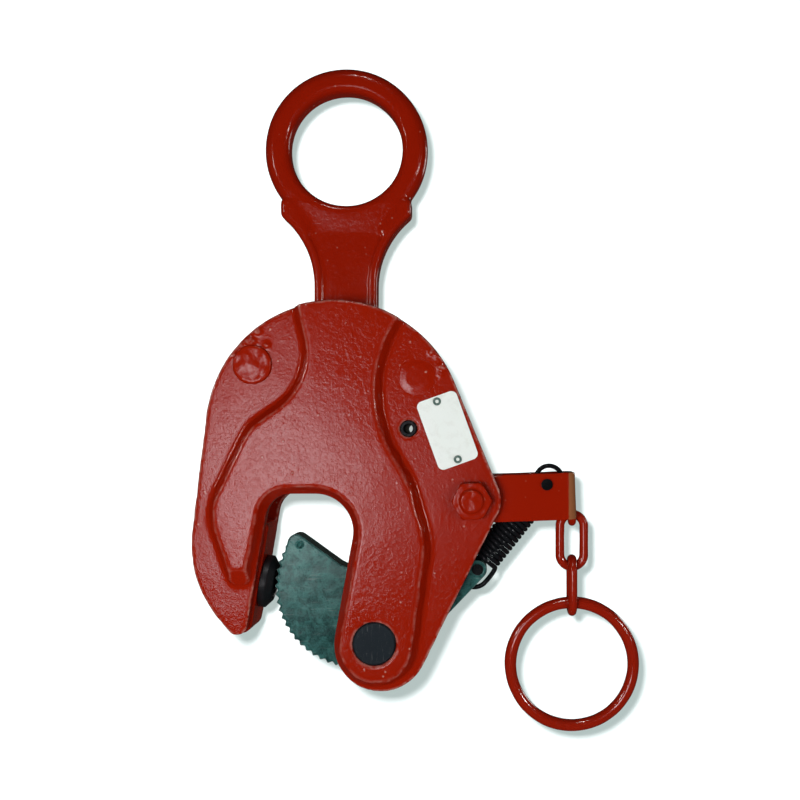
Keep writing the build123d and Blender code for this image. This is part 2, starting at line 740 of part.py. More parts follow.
def coil_stations():
    """Places and headings along the coil, about every half turn."""
    stations = []
    for i in range(2 * turn_count + 1):
        share = i / (2 * turn_count)
        angle = coil_lead + coil_turn * share
        place = upper_loop_at + along * (coil_start + coil_room * share)
        place += across * (coil_radius * cos(angle)) + depth * (coil_radius * sin(angle))
        heading = depth * (coil_radius * cos(angle)) - across * (coil_radius * sin(angle))
        stations.append((place, (heading + along * (coil_room / coil_turn)).normalized()))
    return stations


def biarc(start, start_heading, end, end_heading):
    """Two arcs that meet smoothly, from one place and heading to the next."""
    chord = end - start
    total = start_heading + end_heading
    lean = 2 * (1 - start_heading.dot(end_heading))
    pull = chord.dot(total)
    reach = (-pull + sqrt(pull**2 + lean * chord.dot(chord))) / lean
    meet = (start + start_heading * reach + end - end_heading * reach) / 2
    first = TangentArc(start, meet, tangent=start_heading)
    TangentArc(meet, end, tangent=first % 1)


upper_stations = loop_stations(upper_loop_at, upper_loop_radius, 270 + loop_opening, 90)
lower_stations = loop_stations(lower_loop_at, lower_loop_radius, 90, -90 - loop_opening)
stations = upper_stations + coil_stations() + lower_stations
with BuildPart() as return_spring:
    with BuildLine() as wire_path:
        Line(stations[0][0] - stations[0][1] * spring_wire, stations[0][0])
        for here, there in zip(stations, stations[1:]):
            biarc(*here, *there)
        Line(stations[-1][0], stations[-1][0] + stations[-1][1] * spring_wire)
    with BuildSketch(Plane(wire_path.wire() @ 0, z_dir=wire_path.wire() % 0)):
        Circle(spring_wire / 2)
    sweep()
return_spring.part.label = "return_spring"
export_step(return_spring.part, "parts/return_spring.step")

samples_per_wire = 4          # measured places along one wire diameter
neighbour_wires = 3           # wire diameters along the wire that count as the same stretch
wire_length = wire_path.wire().length
sample_count = int(samples_per_wire * wire_length / spring_wire)
samples = [wire_path.wire() @ (i / sample_count) for i in range(sample_count + 1)]
least_gap = min(
    (here - there).length
    for i, here in enumerate(samples) for there in samples[i + neighbour_wires * samples_per_wire:]
) - spring_wire
print(f"return spring: wire {wire_length:.1f} mm, least gap to itself {least_gap:.2f} mm")


# Chain and pull ring
link_half = (link_width - link_wire) / 2
link_straight = link_length - link_width
upper_link_top = chain_bar_at[1] + chain_eye_bar / 2 + side_gap + link_wire
upper_link_middle = upper_link_top - link_length / 2
lower_link_top = upper_link_middle - link_length / 2 + 2 * link_wire + side_gap
lower_link_middle = lower_link_top - link_length / 2
ring_top = lower_link_middle - link_length / 2 + link_wire + side_gap + ring_wire
ring_middle = ring_top - ring_diameter / 2


def build_chain_link(plane):
    """A round-wire link: two straight sides and two half rings, its long side along the plane's y."""
    with BuildPart() as chain_link:
        with BuildLine(plane) as loop:
            Line((link_half, -link_straight / 2), (link_half, link_straight / 2))
            CenterArc((0, link_straight / 2), link_half, 0, 180)
            Line((-link_half, link_straight / 2), (-link_half, -link_straight / 2))
            CenterArc((0, -link_straight / 2), link_half, 180, 180)
        with BuildSketch(Plane(loop.wire() @ 0, z_dir=loop.wire() % 0)):
            Circle(link_wire / 2)
        sweep()
    return chain_link.part


upper_chain_plane = Plane((chain_bar_at[0], 0, upper_link_middle), x_dir=(1, 0, 0), z_dir=(0, -1, 0))
lower_chain_plane = Plane((chain_bar_at[0], 0, lower_link_middle), x_dir=(0, 1, 0), z_dir=(1, 0, 0))
for chain_name, chain_plane in (
    ("upper_chain_link", upper_chain_plane), ("lower_chain_link", lower_chain_plane),
):
    chain_piece = build_chain_link(chain_plane)
    chain_piece.label = chain_name
    export_step(chain_piece, f"parts/{chain_name}.step")

with BuildPart() as pull_ring:
    with Locations(Plane((chain_bar_at[0], 0, ring_middle), x_dir=(1, 0, 0), z_dir=(0, -1, 0)).location):
        Torus((ring_diameter - ring_wire) / 2, ring_wire / 2)
pull_ring.part.label = "pull_ring"
export_step(pull_ring.part, "parts/pull_ring.step")


# Blank data plate and its two rivets
with BuildPart() as data_plate:
    with BuildSketch(label_plane):
        RectangleRounded(label_width, label_height, label_corner)
        with Locations(*rivet_spots):
            Circle(rivet_radius, mode=Mode.SUBTRACT)
    extrude(amount=label_thickness)
data_plate.part.label = "data_plate"
export_step(data_plate.part, "parts/data_plate.step")


def build_rivet(spot):
    """A round-headed rivet through the data plate."""
    with BuildPart() as rivet:
        with BuildSketch(label_plane.offset(label_thickness)):
            with Locations(spot):
                Circle(rivet_radius)
        extrude(amount=-(label_thickness + rivet_depth))
        with BuildSketch(label_plane.offset(label_thickness)):
            with Locations(spot):
                Circle(rivet_head_radius)
        extrude(amount=rivet_head_height)
    return rivet.part


for rivet_name, rivet_spot in zip(("upper_plate_rivet", "lower_plate_rivet"), rivet_spots):
    rivet_piece = build_rivet(rivet_spot)
    rivet_piece.label = rivet_name
    export_step(rivet_piece, f"parts/{rivet_name}.step")
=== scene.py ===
"""Looks of a vertical lifting clamp: heavy red paint, worn steel, spring wire and a plain stage.

Metres, in the frame of the solids: the origin is the centre of the lifting eye, +X points from the fixed jaw to
the lever, +Z up, and +Y from the front plate to the rear plate.
"""
import json
import math

import bpy
from bpy.props import FloatProperty, FloatVectorProperty, PointerProperty
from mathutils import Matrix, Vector


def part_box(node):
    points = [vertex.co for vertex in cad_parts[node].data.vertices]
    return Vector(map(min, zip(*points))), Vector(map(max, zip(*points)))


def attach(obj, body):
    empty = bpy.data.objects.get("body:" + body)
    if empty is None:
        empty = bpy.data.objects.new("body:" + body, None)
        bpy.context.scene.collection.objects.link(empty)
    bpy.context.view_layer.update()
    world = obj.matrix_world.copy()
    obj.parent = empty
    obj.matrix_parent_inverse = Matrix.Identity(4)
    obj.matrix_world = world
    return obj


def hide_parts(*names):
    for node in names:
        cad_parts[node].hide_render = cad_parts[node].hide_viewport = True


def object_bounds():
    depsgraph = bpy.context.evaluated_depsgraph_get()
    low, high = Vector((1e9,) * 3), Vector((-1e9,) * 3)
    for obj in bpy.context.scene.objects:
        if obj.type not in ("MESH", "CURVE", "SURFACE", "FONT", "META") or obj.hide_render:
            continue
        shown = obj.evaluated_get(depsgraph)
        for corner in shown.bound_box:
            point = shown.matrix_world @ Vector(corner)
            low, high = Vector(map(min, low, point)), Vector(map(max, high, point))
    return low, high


bl_info = {
    "name": "Plate Lifting Clamp",
    "version": (1, 0, 0),
    "blender": (4, 5, 0),
    "location": "View3D > Sidebar > Clamp",
    "description": "Paints the solids of a plate lifting clamp and sets them on a plain stage",
    "category": "Object",
}

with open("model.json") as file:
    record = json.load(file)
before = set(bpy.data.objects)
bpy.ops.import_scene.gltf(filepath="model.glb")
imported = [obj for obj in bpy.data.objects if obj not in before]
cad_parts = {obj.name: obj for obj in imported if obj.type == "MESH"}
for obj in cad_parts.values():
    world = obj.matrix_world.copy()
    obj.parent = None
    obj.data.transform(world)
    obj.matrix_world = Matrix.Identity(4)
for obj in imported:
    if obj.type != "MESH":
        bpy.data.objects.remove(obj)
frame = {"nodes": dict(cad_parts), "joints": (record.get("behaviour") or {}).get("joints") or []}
cad_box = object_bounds()
nodes = frame["nodes"]
joint_places = {joint["name"]: Vector(joint["pos_m"]) for joint in frame["joints"] if "pos_m" in joint}
flange_face = -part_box("data_plate")[1].y
lift_travel = next(joint["range_m"][1] for joint in frame["joints"] if joint["name"] == "lift_slide")
MM = 0.001
SMOOTH_COAT = {"peel": 0.6, "nibs": 0.4, "dull": 0.02}
# Painted shade: the shackle's coat is shifted towards deep red, standing in for the lesser light at the top of
# the clamp.
FORGED_COAT = {"peel": 0.9, "nibs": 0.5, "dull": 0.03, "gloss": 0.25, "top_shade": 0.25}
WINDOW_PLACE_Y = -1.45      # metres, the window stands this far in front
CAMERA_PLACE = (0.0675, -0.540, -0.1472)
CAMERA_SHIFT = (-0.09625, 0.04375)
SHEET_GLOW = (0.82, 1.0, 0.97)

# Weld spatter and lumps of paint on the front plate: x, z and radius in millimetres
SPATTER = (
    (-46.2, -100.2, 2.8), (-50.2, -102.6, 1.6), (-42.4, -95.6, 1.9), (-37.6, -102.3, 1.5),
    (-53.8, -107.4, 1.2),
    (35.3, -113.5, 1.3), (33.3, -117.6, 0.9), (42.0, -115.7, 1.5), (44.8, -105.9, 1.4), (47.4, -107.6, 1.2),
    (50.4, -113.4, 1.9), (49.6, -116.6, 1.2),
)

# Panes of the window in front: x, z, width and height in metres, and how clear each is
PANES = (
    (-0.4366, -0.257, 0.0802, 0.38, 0.62), (-0.3294, -0.257, 0.1342, 0.38, 0.95),
    (-0.2344, -0.257, 0.056, 0.283, 0.95), (-0.1766, -0.262, 0.06, 0.144, 0.95),
    (-0.0695, -0.25, 0.155, 0.224, 0.13), (-0.3434, -0.005, 0.155, 0.125, 0.3),
)


def middle(node):
    """Middle of a node's box."""
    low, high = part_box(node)
    return (low + high) / 2


def extent(node):
    """Width, depth and height of a node's box."""
    low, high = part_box(node)
    return high - low


def length_size(name, description, millimetres):
    """A length in the panel, in metres."""
    return FloatProperty(
        name=name, description=description, default=millimetres * MM, min=0.0, precision=5, unit="LENGTH")


def tint(name, description, colour):
    """A colour in the panel."""
    return FloatVectorProperty(
        name=name, description=description, default=colour, min=0.0, max=1.0, size=3, subtype="COLOR")


def share(name, description, value):
    """A number from nought to one in the panel."""
    return FloatProperty(
        name=name, description=description, default=value, min=0.0, max=1.0, subtype="FACTOR")


class ClampPaint(bpy.types.PropertyGroup):
    """Colours and texture of the red paint."""

    red: tint("Red", "Paint colour in the light", (0.32, 0.0105, 0.0008))
    # Deep red is the paint's darker random tone. It is also the colour of the painted shade in corners and on
    # the shackle.
    deep_red: tint("Deep red", "Paint colour where it lies thick or in a corner", (0.215, 0.006, 0.0005))
    # This tan is laid only on the lever strap's end corner, as painted highlight together with wear.
    worn: tint("Worn", "Primer and rust where the paint is rubbed thin", (0.3, 0.115, 0.045))
    # This colour is painted highlight, laid on the specks and along the crests of edges.
    nib: tint("Nib", "Pale specks and rubbed crests in the paint", (0.6, 0.36, 0.3))
    roughness: share("Roughness", "Roughness of clean paint", 0.06)
    peel_size: length_size("Peel size", "Width of the orange-peel ripples", 0.8)
    peel_height: length_size("Peel height", "Height of the orange-peel ripples", 0.03)
    lump_size: length_size("Lump size", "Width of the lumps in the paint", 1.8)
    lump_height: length_size("Lump height", "Height of the lumps in the paint", 0.045)
    nib_size: length_size("Nib spacing", "Distance between specks caught in the paint", 6.5)


class ClampSteel(bpy.types.PropertyGroup):
    """Colours of the bare and blackened steel."""

    cam: tint("Cam", "Oiled grey-green face of the cam", (0.038, 0.145, 0.135))
    cam_dark: tint("Cam, dark", "Scale left on the cam", (0.004, 0.024, 0.025))
    bright: tint("Bright steel", "Steel where it is rubbed bare", (0.42, 0.43, 0.42))
    blued: tint("Blued steel", "End of the cam pin", (0.006, 0.011, 0.015))
    black: tint("Black steel", "Blackened pad, pins and spring", (0.0035, 0.004, 0.005))
    eyelet: tint("Eyelet", "Dull green plating of the eyelets", (0.055, 0.1, 0.085))
    enamel: tint("Enamel", "White face of the data plate", (0.87, 0.94, 0.91))


class ClampSurface(bpy.types.PropertyGroup):
    """How finely the painted pieces are meshed, and how uneven they are."""

    plate_grain: length_size("Plate grain", "Mesh width on the side plates", 0.73)
    shackle_grain: length_size("Shackle grain", "Mesh width on the shackle", 0.75)
    cam_grain: length_size("Cam grain", "Mesh width on the cam", 0.45)
    small_grain: length_size("Small grain", "Mesh width on small painted pieces", 0.4)
    band_wobble: length_size("Band wobble", "How far the band's sloped edge strays", 0.9)
    face_wave: length_size("Face wave", "How far a broad face strays from flat", 0.3)
    guide_room: length_size("Guide room", "What the guide slots are widened by, round the shackle's pin", 0.5)
    # The strap's worn corner is painted highlight together with wear.
    strap_corner: length_size("Strap corner", "Width of the worn corner of the lever strap", 5.4)
    stud_lumps: length_size("Stud lumps", "Height of the lumps on the headed stud ends", 0.6)
    chain_coat: length_size("Chain coat", "What the paint adds to the chain's wire", 0.5)
    nut_turn: FloatProperty(
        name="Nut turn", description="How far the nut is turned on its bolt", default=math.radians(9.6),
        subtype="ANGLE")
    neck_top: length_size("Neck top", "Upper end of the neck's sunk panel, below the eye", 43.0)
    neck_blend: length_size("Neck blend", "How far above that end the face comes up again", 15.0)
    neck_depth: length_size("Neck depth", "Depth of the sunk panel", 1.2)
    neck_half: length_size("Neck half width", "Half the width of the panel at its upper end", 16.0)


class ClampSpring(bpy.types.PropertyGroup):
    """Sizes of the return spring's wire."""

    wire: length_size("Wire", "Diameter of the wire, with its blacking", 2.45)
    pitch: length_size("Pitch", "Least distance between turns", 2.5)
    upper_loop: length_size("Upper loop", "Radius of the loop on the lever", 6.8)
    lower_loop: length_size("Lower loop", "Radius of the loop on the cam's tail", 7.7)
    lower_play: length_size("Lower play", "Middle of the lower loop past the tail pin", 2.9)
    upper_play: length_size("Upper play", "Middle of the upper loop past the spring pin", 3.1)
    bend: length_size("Bend", "Along the axis, from a loop to the first turn", 1.2)
    opening: FloatProperty(
        name="Opening", description="Angle left open in a loop", default=math.radians(62), subtype="ANGLE")


class ClampStage(bpy.types.PropertyGroup):
    """Light, floor, sheet and camera."""

    pale: tint("Pale", "Colour of the floor and of the sheet behind", (0.9, 0.92, 0.93))
    surround: tint("Surround", "Light of the dim room, away from the lamps", (0.028, 0.027, 0.023))
    window: FloatProperty(
        name="Window", description="Power of a square metre of window", default=26.5, unit="POWER")
    key: FloatProperty(name="Key", description="Power of the broad lamp in front", default=6.7, unit="POWER")
    fill: FloatProperty(name="Fill", description="Power of the lamp at the right", default=2.8, unit="POWER")
    glint: FloatProperty(name="Glint", description="Power of each small lamp", default=2.0, unit="POWER")
    back: FloatProperty(name="Back", description="Power of each lamp behind", default=5.5, unit="POWER")
    shade: FloatProperty(
        name="Shade", description="Power of the lamp on the sheet alone", default=12.0, unit="POWER")
    floor_look: share("Floor look", "How bright the floor looks", 0.8)
    floor_bounce: share("Floor bounce", "Light that the floor throws up", 0.34)
    floor_drop: length_size("Floor drop", "Floor below the hanging ring", 60.0)
    sheet_gap: length_size("Sheet gap", "Sheet behind the clamp", 9.0)
    lens: FloatProperty(name="Lens", description="Focal length in millimetres", default=46.8, min=1.0)


# Shader maths

class Value:
    """A socket of a material under construction; arithmetic on it adds Math nodes."""

    def __init__(self, finish, socket):
        self.finish = finish
        self.socket = socket

    def math(self, operation, first, second):
        return self.finish.node("ShaderNodeMath", {"operation": operation}, {0: first, 1: second})

    def __add__(self, other):
        return self.math("ADD", self, other)

    def __sub__(self, other):
        return self.math("SUBTRACT", self, other)

    def __rsub__(self, other):
        return self.math("SUBTRACT", other, self)

    def __mul__(self, other):
        return self.math("MULTIPLY", self, other)

    __radd__ = __add__
    __rmul__ = __mul__


class Finish:
    """A procedural material: one Principled shader and the nodes that feed it."""

    def __init__(self, name):
        self.material = bpy.data.materials.new(name)
        self.material.use_nodes = True
        self.tree = self.material.node_tree
        self.tree.nodes.clear()
        self.output = self.tree.nodes.new("ShaderNodeOutputMaterial")
        self.shader = self.tree.nodes.new("ShaderNodeBsdfPrincipled")
        self.tree.links.new(self.shader.outputs["BSDF"], self.output.inputs["Surface"])
        self.place = self.node("ShaderNodeTexCoord", out="Object")

    def node(self, kind, settings=(), sockets=(), out=0):
        """Add a node, set it up, feed its sockets and give one of its outputs."""
        made = self.tree.nodes.new(kind)
        for key, value in dict(settings).items():
            if key == "stops":
                self.set_stops(made.color_ramp, value)
            else:
                setattr(made, key, value)
        for key, value in dict(sockets).items():
            self.feed(made.inputs[key], value)
        return Value(self, made.outputs[out])

    def feed(self, socket, value):
        """Link a value to a socket, or set a constant on it."""
        if isinstance(value, Value):
            self.tree.links.new(value.socket, socket)
        else:
            socket.default_value = value

    def set_stops(self, ramp, stops):
        """Give a colour ramp its stops, as places and greys."""
        while len(ramp.elements) < len(stops):
            ramp.elements.new(1.0)
        for element, (place, grey) in zip(ramp.elements, stops):
            element.position = place
            element.color = (grey, grey, grey, 1.0)

    def noise(self, size, detail=2.0, roughness=0.5, distortion=0.0, stretch=(1.0, 1.0, 1.0)):
        """Soft noise, about nought to one, with features of a size in metres."""
        place = self.node("ShaderNodeMapping", (), {"Vector": self.place, "Scale": stretch})
        return self.node("ShaderNodeTexNoise", (), {
            "Vector": place, "Scale": 1 / size, "Detail": detail, "Roughness": roughness,
            "Distortion": distortion})

    def cells(self, size, feature="F1", out="Distance"):
        """Distance from scattered points, a size in metres apart."""
        return self.node(
            "ShaderNodeTexVoronoi", {"feature": feature}, {"Vector": self.place, "Scale": 1 / size}, out)

    def ramp(self, value, *stops):
        """A value passed through a grey ramp."""
        return self.node("ShaderNodeValToRGB", {"stops": stops}, {"Fac": value})

    def mix(self, factor, first, second):
        """Blend two colours."""
        colours = [c if isinstance(c, Value) else (*c, 1.0) for c in (first, second)]
        return self.node(
            "ShaderNodeMix", {"data_type": "RGBA"}, {0: factor, 6: colours[0], 7: colours[1]}, out=2)

    def corners(self, reach):
        """One in the open, falling to nought in corners within a reach."""
        return self.node("ShaderNodeAmbientOcclusion", {"samples": 6}, {"Distance": reach}, out="AO")

    def edges(self, low, high):
        """Nought on flats and hollows, rising to one on sharp ridges of a fine mesh."""
        ridge = self.node("ShaderNodeNewGeometry", out="Pointiness")
        return self.ramp(ridge, (low, 0.0), (high, 1.0))

    def bump(self, height, distance, under=None):
        """A bump normal from a height of nought to one, over another bump."""
        sockets = {"Height": height, "Distance": distance}
        if under is not None:
            sockets["Normal"] = under
        return self.node("ShaderNodeBump", (), sockets)

    def dress(self, colour, roughness, normal=None, metallic=0.0, **constants):
        """Feed the shader and give the material."""
        inputs = self.shader.inputs
        self.feed(inputs["Base Color"], colour if isinstance(colour, Value) else (*colour, 1.0))
        self.feed(inputs["Roughness"], roughness)
        self.feed(inputs["Metallic"], metallic)
        if normal is not None:
            self.feed(inputs["Normal"], normal)
        for key, value in constants.items():
            inputs[key.replace("_", " ").title().replace("Ior", "IOR")].default_value = value
        return self.material


# Finishes

def gloss_red(paint, name, peel=1.0, nibs=1.0, crests=0.0, dull=0.0, gloss=0.33, top_shade=0.0, worn_from=None):
    """Heavy gloss paint with orange peel, runs and specks, painted shade in its corners, painted highlights on
    its specks and crests, and a painted highlight with wear past a corner.
    """
    finish = Finish(name)
    cloudy = finish.noise(16 * MM, detail=4.0, roughness=0.65)
    grain = finish.noise(1.1 * MM, detail=2.0)
    # Painted shade: ambient occlusion darkens the paint towards deep red in corners and creases.
    corner_shade = finish.ramp(finish.corners(3 * MM), (0.25, 1.0), (0.85, 0.0))
    # The last share in this mix is painted shade that darkens a whole piece, used on the shackle.
    colour = finish.mix(cloudy * 0.3 + grain * 0.15 + corner_shade * 0.5 + top_shade, paint.red, paint.deep_red)
    # Painted highlight with wear: a tan strip along the strap's end corner.
    if worn_from is not None:
        end, side = worn_from
        along = finish.node("ShaderNodeSeparateXYZ", (), {0: finish.place}, out="X")
        sideways = finish.node("ShaderNodeSeparateXYZ", (), {0: finish.place}, out="Y")
        outward = sideways.math("ABSOLUTE", sideways, 0.0)
        strip = finish.ramp((along - end) * (1 / (2 * MM)) + 0.25 * grain, (0.35, 0.0), (0.75, 1.0))
        corner = finish.ramp((outward - side) * (1 / (2 * MM)) + 0.5 * grain, (0.2, 0.0), (0.9, 1.0))
        colour = finish.mix(strip * corner * 0.95, colour, paint.worn)
    apart = finish.cells(paint.nib_size)
    chosen = finish.ramp(finish.noise(2.5 * paint.nib_size, detail=0.0), (0.44, 0.0), (0.5, 1.0))
    specks = finish.ramp(apart, (0.02, 1.0), (0.15, 0.0)) * chosen
    # Painted highlight: pale spots at the specks stand in for their glints; the specks' bumps are real.
    pale = finish.ramp(apart, (0.02, 1.0), (0.1, 0.0)) * chosen
    patches = finish.ramp(finish.noise(3.5 * MM, detail=4.0, roughness=0.7), (0.39, 0.0), (0.57, 1.0))
    # Painted highlight: pale broken lines along sharp crests stand in for lamps glinting on the edges.
    rubbed = finish.edges(0.51, 0.555) * patches
    colour = finish.mix(pale * (0.6 * nibs) + rubbed * crests, colour, paint.nib)
    runs = finish.noise(5 * MM, detail=2.0, stretch=(1.0, 1.0, 0.6))
    waves = finish.bump(runs, 0.03 * MM * peel)
    swells = finish.ramp(finish.noise(paint.lump_size, detail=3.0, roughness=0.6), (0.46, 0.0), (0.8, 1.0))
    lumps = finish.bump(swells, paint.lump_height * peel, waves)
    ripples = finish.bump(
        finish.noise(paint.peel_size, detail=2.0, roughness=0.55), paint.peel_height * peel, lumps)
    normal = finish.bump(specks, 0.05 * MM * nibs, ripples)
    grime = finish.noise(3 * MM, detail=4.0, roughness=0.7)
    matte = finish.ramp(finish.noise(0.9 * MM, detail=2.0, roughness=0.6), (0.5, 0.0), (0.7, 1.0))
    roughness = 0.05 * grime + (0.16 * peel) * matte + (paint.roughness + dull)
    return finish.dress(colour, roughness, normal, specular_ior_level=gloss)


def cam_steel(steel):
    """Grey-green oiled steel, mottled and scratched, rubbed lighter on its teeth and rims."""
    finish = Finish("cam_steel")
    mottle = finish.noise(7 * MM, detail=6.0, roughness=0.7, distortion=0.5)
    patches = finish.ramp(mottle, (0.42, 0.0), (0.6, 1.0))
    fine = finish.noise(0.9 * MM, detail=3.0, roughness=0.7)
    flecks = finish.ramp(fine, (0.36, 0.0), (0.62, 1.0))
    scale = finish.mix(patches * 0.65 + flecks * 0.35, steel.cam_dark, steel.cam)
    scratches = finish.ramp(
        finish.noise(0.6 * MM, detail=2.0, stretch=(0.06, 1.0, 1.0)), (0.64, 0.0), (0.72, 1.0))
    pits = finish.ramp(finish.noise(1.8 * MM, detail=3.0, roughness=0.6), (0.3, 1.0), (0.4, 0.0))
    worn = finish.edges(0.52, 0.6)
    marked = finish.mix(pits * 0.6, scale, steel.cam_dark)
    colour = finish.mix(worn * 0.3 + scratches * 0.12, marked, steel.bright)
    normal = finish.bump(fine * 0.5 + mottle * 0.8 - pits * 0.6, 0.03 * MM)
    return finish.dress(
        colour, 0.12 + 0.12 * mottle, normal, specular_ior_level=0.3, specular_tint=(0.72, 1.0, 0.92, 1.0))


def dark_steel(name, colour, bright, roughness=0.4, rub=0.35, metallic=0.6, scratched=0.0, gloss=0.5):
    """Blackened or blued steel, handled, scratched and rubbed lighter along its rims."""
    finish = Finish(name)
    mottle = finish.noise(3.5 * MM, detail=5.0, roughness=0.7)
    flecks = finish.ramp(finish.noise(0.7 * MM, detail=3.0, roughness=0.75), (0.6, 0.0), (0.78, 1.0))
    worn = finish.edges(0.53, 0.62)
    tone = finish.mix(mottle * 0.5 + 0.1, colour, tuple(min(1.0, 2.6 * c + 0.004) for c in colour))
    lines = finish.noise(0.9 * MM, detail=3.0, roughness=0.6, distortion=0.6, stretch=(1.0, 1.0, 0.12))
    cuts = finish.ramp(lines, (0.58, 0.0), (0.68, 1.0)) + flecks
    shade = finish.mix(worn * rub + flecks * (0.12 * rub) + cuts * scratched, tone, bright)
    return finish.dress(
        shade, roughness + 0.25 * mottle - 0.1, finish.bump(mottle, 0.06 * MM), metallic=metallic,
        specular_ior_level=gloss)


def oiled_steel(steel):
    """Plain machined steel with a film of oil, for the pieces inside."""
    finish = Finish("oiled_steel")
    lines = finish.noise(0.6 * MM, detail=2.0, stretch=(1.0, 0.08, 1.0))
    stain = finish.noise(8 * MM, detail=4.0, roughness=0.65)
    colour = finish.mix(stain * 0.7, steel.bright, steel.cam_dark)
    return finish.dress(colour, 0.3 + 0.25 * stain, finish.bump(lines, 0.03 * MM), metallic=0.9)


def white_enamel(steel):
    """White enamelled sheet, left blank, a little smudged, with painted shade in a yellowish grey towards its
    rim.
    """
    finish = Finish("white_enamel")
    smudge = finish.ramp(finish.noise(5 * MM, detail=5.0, roughness=0.7), (0.5, 0.0), (0.8, 1.0))
    # Painted shade: ambient occlusion darkens the enamel near its rim and round the eyelets.
    rim = finish.ramp(finish.corners(1.5 * MM), (0.3, 1.0), (0.9, 0.0))
    colour = finish.mix(smudge * 0.25 + rim * 0.3, steel.enamel, (0.45, 0.43, 0.38))
    return finish.dress(colour, 0.34 + 0.2 * smudge, finish.bump(finish.noise(4 * MM), 0.08 * MM))


# Working on meshes

def focus(piece):
    """Make one object the only selected one, and the active one."""
    bpy.ops.object.select_all(action="DESELECT")
    piece.select_set(True)
    bpy.context.view_layer.objects.active = piece


def solid_copy(node, name):
    """A copy of a node's solid, its loose triangles merged, as a piece to work on."""
    piece = bpy.data.objects.new(name, nodes[node].data.copy())
    bpy.context.scene.collection.objects.link(piece)
    piece.data.materials.clear()
    focus(piece)
    bpy.ops.mesh.customdata_custom_splitnormals_clear()
    bpy.ops.object.mode_set(mode="EDIT")
    bpy.ops.mesh.select_all(action="SELECT")
    bpy.ops.mesh.remove_doubles(threshold=0.002 * MM)
    bpy.ops.object.mode_set(mode="OBJECT")
    return piece


def work(piece, kind, **settings):
    """Add a modifier to a piece and apply it."""
    focus(piece)
    modifier = piece.modifiers.new(kind.title(), kind)
    for key, value in settings.items():
        setattr(modifier, key, value)
    bpy.ops.object.modifier_apply(modifier=modifier.name)


def melt(piece, grain, rounds):
    """Mesh a solid evenly and soften its edges, as heavy paint or wear does."""
    work(piece, "REMESH", mode="VOXEL", voxel_size=grain)
    work(piece, "SMOOTH", factor=0.5, iterations=rounds)


def ripple(piece, size, height, group=""):
    """Push a surface in and out by soft noise of a size and height."""
    texture = bpy.data.textures.new(f"{piece.name}_{size / MM:.0f}", "CLOUDS")
    texture.noise_scale = size
    texture.noise_depth = 1
    work(piece, "DISPLACE", texture=texture, texture_coords="LOCAL", strength=height, mid_level=0.5,
         vertex_group=group)


def weigh(piece, name, weight):
    """Make a vertex group from a weight of each vertex."""
    group = piece.vertex_groups.new(name=name)
    for vertex in piece.data.vertices:
        value = weight(vertex)
        if value > 0:
            group.add([vertex.index], value, "REPLACE")
    return group.name


def finish_piece(piece, material, body, slot, *replaced, smooth_angle=None):
    """Shade and paint a piece, set it on its body and let it stand for its nodes."""
    focus(piece)
    if smooth_angle is None:
        bpy.ops.object.shade_smooth()
    else:
        bpy.ops.object.shade_smooth_by_angle(angle=math.radians(smooth_angle))
    piece.data.materials.clear()
    piece.data.materials.append(material)
    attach(piece, body)
    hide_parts(*replaced)


def dress_node(node, material):
    """Give a solid that stays as it is its material."""
    mesh_object = nodes[node]
    mesh_object.data.materials.clear()
    mesh_object.data.materials.append(material)


def soften_node(node, material, width):
    """Give a solid its material, and break its edges with live modifiers."""
    dress_node(node, material)
    piece = nodes[node]
    weld = piece.modifiers.new("Weld", "WELD")
    weld.merge_threshold = 0.002 * MM
    bevel = piece.modifiers.new("Bevel", "BEVEL")
    bevel.width = width
    bevel.segments = 3
    bevel.limit_method = "ANGLE"
    bevel.angle_limit = math.radians(35)
    bevel.harden_normals = False


def paint_for(context, name, **looks):
    """The red paint, made once under a name."""
    return bpy.data.materials.get(name) or gloss_red(context.scene.clamp_paint, name, **looks)


# Operators, one for each piece or group of like pieces

class CLAMP_OT_shackle(bpy.types.Operator):
    """Lifting shackle: a forged eye under heavy paint"""

    bl_idname = "clamp.shackle"
    bl_label = "Lifting Shackle"

    def execute(self, context):
        surface = context.scene.clamp_surface
        piece = solid_copy("lifting_shackle", "painted_shackle")
        melt(piece, surface.shackle_grain, 7)
        level_shoulder(piece, surface)
        ripple(piece, 14 * MM, 0.6 * surface.face_wave)
        ripple(piece, 40 * MM, surface.face_wave)
        finish_piece(piece, paint_for(context, "forged_red", **FORGED_COAT), "shackle", "red_paint",
                     "lifting_shackle")
        return {"FINISHED"}


def level_shoulder(piece, surface):
    """Lower the faces above the neck's sunk panel to it, so that only the rims at its sides stand out."""
    floor = extent("lifting_shackle").y / 2 - surface.neck_depth

    def inside(vertex):
        above = vertex.co.z + surface.neck_top
        half = surface.neck_half + max(0.0, 0.5 * above)
        sideways = (half - abs(vertex.co.x)) / (4 * MM) + 1
        upward = 1 - above / surface.neck_blend if above > -4 * MM else 0.0
        return max(0.0, min(1.0, sideways)) * max(0.0, min(1.0, upward))

    for way, name in ((1, "rear_face"), (-1, "front_face")):
        group = weigh(piece, name, lambda vertex: inside(vertex) * min(
            1.0, (way * vertex.co.y - floor) / surface.neck_depth))
        work(piece, "DISPLACE", direction="Y", strength=-way * surface.neck_depth, mid_level=0.0,
             vertex_group=group)
    blend = weigh(piece, "blend", inside)
    work(piece, "SMOOTH", factor=0.5, iterations=25, vertex_group=blend, use_x=False, use_z=False)


